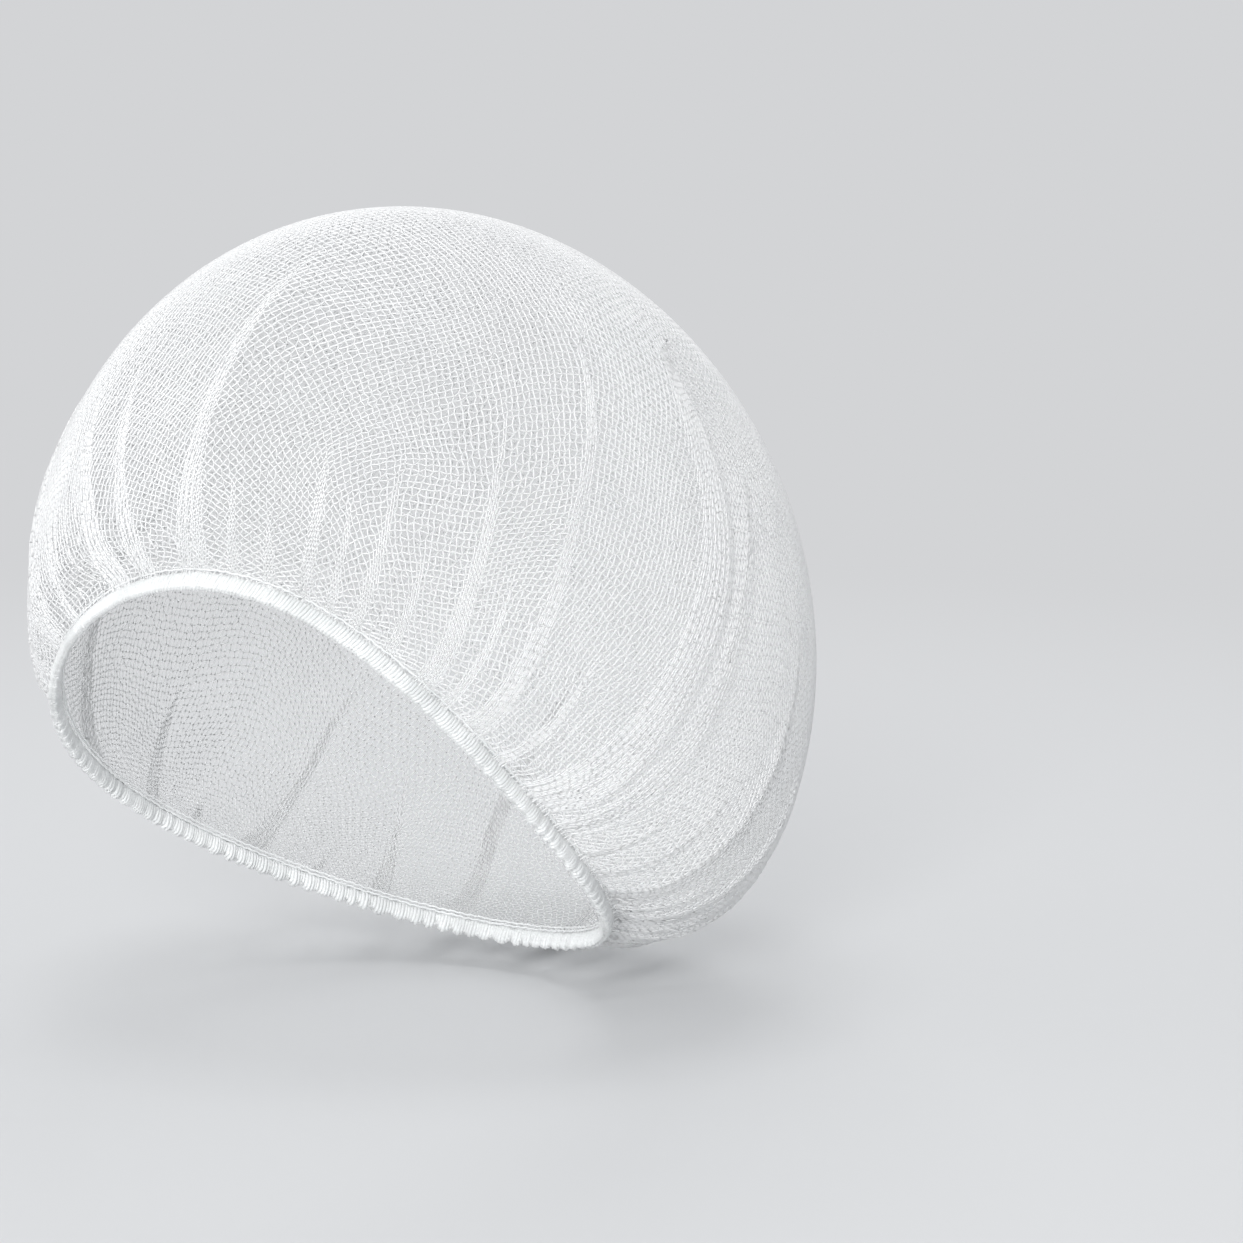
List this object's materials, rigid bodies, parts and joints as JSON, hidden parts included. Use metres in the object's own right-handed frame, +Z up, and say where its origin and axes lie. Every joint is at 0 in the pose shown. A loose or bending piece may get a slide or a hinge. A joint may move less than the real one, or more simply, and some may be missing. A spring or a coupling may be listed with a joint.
{
  "type": "disposable hairnet",
  "caption": "Round gathered hairnet of fine knitted mesh on an overlocked elastic band, held open as it is worn.",
  "frame": {"origin": "centre of the elastic band's opening, where the head goes in", "axes": "+Z up on an upright head, brow towards -Y and nape towards +Y, +X towards an ear; the band's plane leans, high at the brow and low at the nape"},
  "size_m": [0.2214, 0.2658, 0.232],
  "materials": {
    "net": "white knitted nylon net",
    "band": "white overlocked elastic"
  },
  "bodies": {
    "root": {"net_crown": "net", "elastic_band": "band"}
  },
  "joints": []
}
